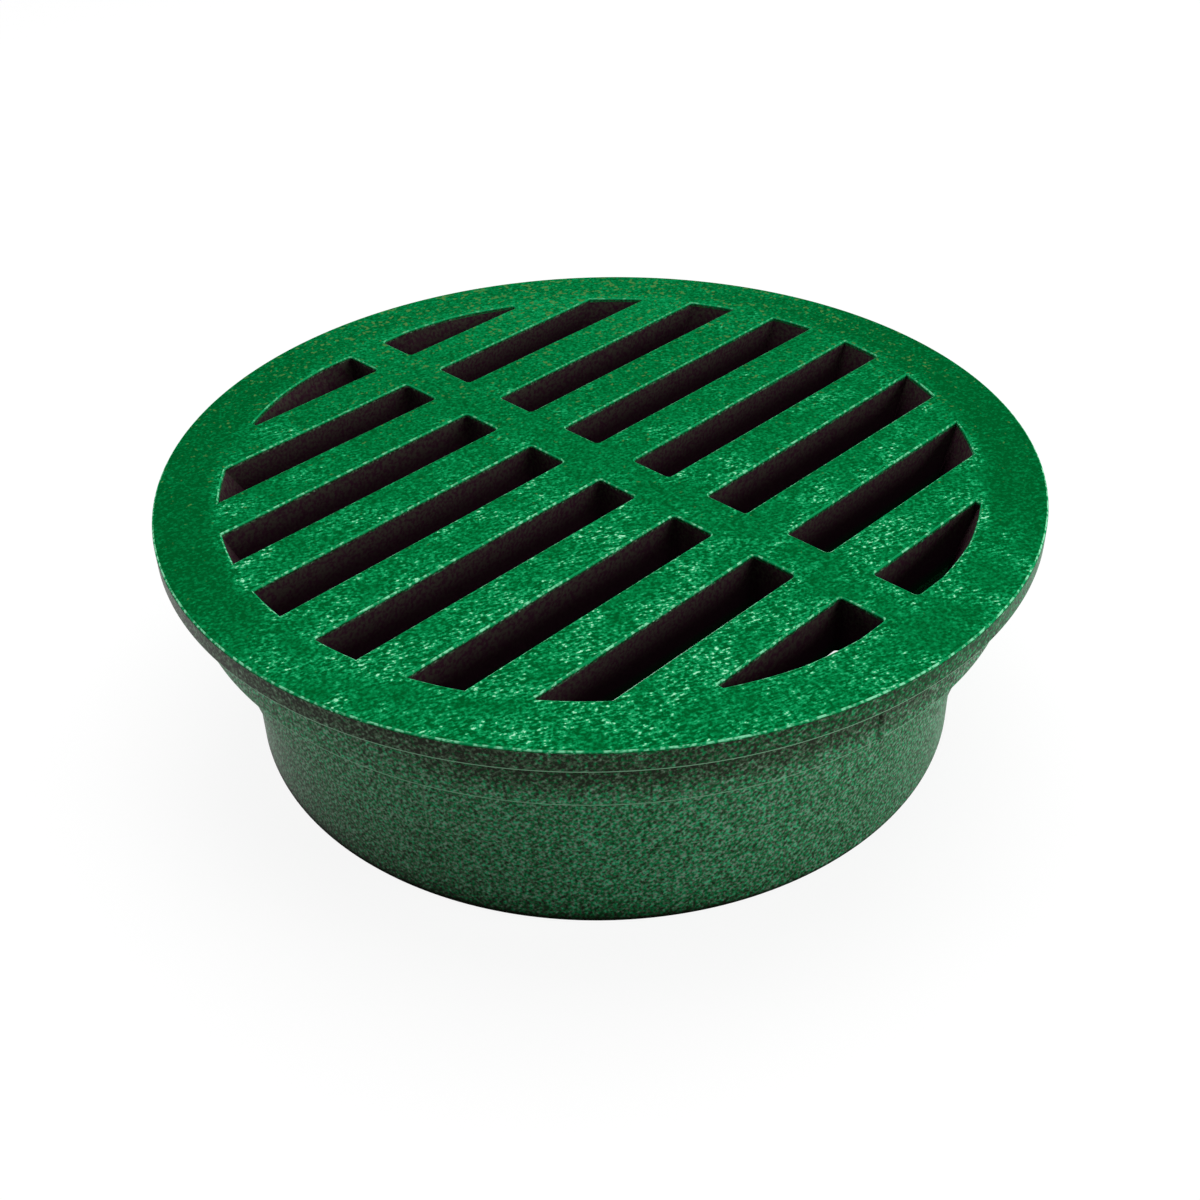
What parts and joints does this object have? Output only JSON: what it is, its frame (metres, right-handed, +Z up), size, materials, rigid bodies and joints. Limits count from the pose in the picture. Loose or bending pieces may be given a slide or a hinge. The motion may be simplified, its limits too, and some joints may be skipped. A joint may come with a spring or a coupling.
{
  "type": "round drain grate",
  "caption": "Round slotted drain grate moulded in one piece: a flat flanged disc of bars across a spine, over a stepped open collar that drops into a drain pipe.",
  "frame": {"origin": "centre of the collar's foot, on the surface it stands on", "axes": "+Z up out of the drain, bars along X, spine along Y"},
  "size_m": [0.178, 0.178, 0.0543],
  "materials": {
    "green_plastic": "moulded green plastic with a fine swirled grain, satin"
  },
  "bodies": {
    "root": {"round_grate": "green_plastic"}
  },
  "joints": []
}
